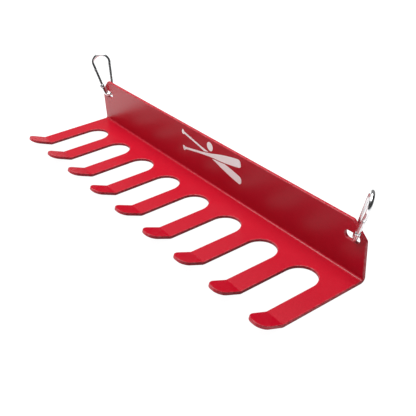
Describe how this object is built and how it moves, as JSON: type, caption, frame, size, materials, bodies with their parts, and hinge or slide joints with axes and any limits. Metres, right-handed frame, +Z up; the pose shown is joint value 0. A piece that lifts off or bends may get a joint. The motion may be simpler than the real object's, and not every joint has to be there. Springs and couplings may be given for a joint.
{
  "type": "fence-hung bat rack",
  "caption": "Bent steel rack with a comb of round-ended slots for hanging bats, turned-up prong tips and a spring snap hook at each end for clipping to a fence.",
  "frame": {"origin": "on the underside of the shelf, at mid length and midway between the rear face and the slot ends", "axes": "+X along the rack to the right end, +Z up, prongs pointing to -Y, back plate and fence at +Y"},
  "size_m": [0.5372, 0.1415, 0.1025],
  "materials": {
    "powder_coat": "satin powder coat, fine orange peel",
    "hook_bar": "bright plated round bar",
    "hook_gate": "bright plated",
    "rivet": "plain steel",
    "latch_pin": "plain steel",
    "plunger": "plain steel",
    "spring": "spring wire"
  },
  "bodies": {
    "bracket": {"bracket": "powder_coat"},
    "left_hook": {"left_hook_bar": "hook_bar"},
    "left_gate": {"left_hook_gate": "hook_gate", "left_hook_rivet": "rivet", "left_hook_latch_pin": "latch_pin", "left_hook_plunger": "plunger", "left_hook_spring": "spring"},
    "right_hook": {"right_hook_bar": "hook_bar"},
    "right_gate": {"right_hook_gate": "hook_gate", "right_hook_rivet": "rivet", "right_hook_latch_pin": "latch_pin", "right_hook_plunger": "plunger", "right_hook_spring": "spring"}
  },
  "joints": [
    {"name": "left_hook_swing", "type": "hinge", "parent": "bracket", "child": "left_hook", "pos_m": [-0.244, 0.01225, 0.04525], "axis": [0, 1, 0], "range_deg": [-42, 32]},
    {"name": "left_gate_hinge", "type": "hinge", "parent": "left_hook", "child": "left_gate", "pos_m": [-0.25271, 0.00652, 0.05651], "axis": [-0.7286, 0.6428, -0.2367], "range_deg": [0, 26], "stiffness_Nm_per_rad": 0.04, "springref_deg": -20.05},
    {"name": "right_hook_swing", "type": "hinge", "parent": "bracket", "child": "right_hook", "pos_m": [0.244, 0.01225, 0.04525], "axis": [0, -1, 0], "range_deg": [-42, 32]},
    {"name": "right_gate_hinge", "type": "hinge", "parent": "right_hook", "child": "right_gate", "pos_m": [0.25271, 0.00652, 0.05651], "axis": [-0.7286, -0.6428, 0.2367], "range_deg": [0, 26], "stiffness_Nm_per_rad": 0.04, "springref_deg": -20.05}
  ]
}
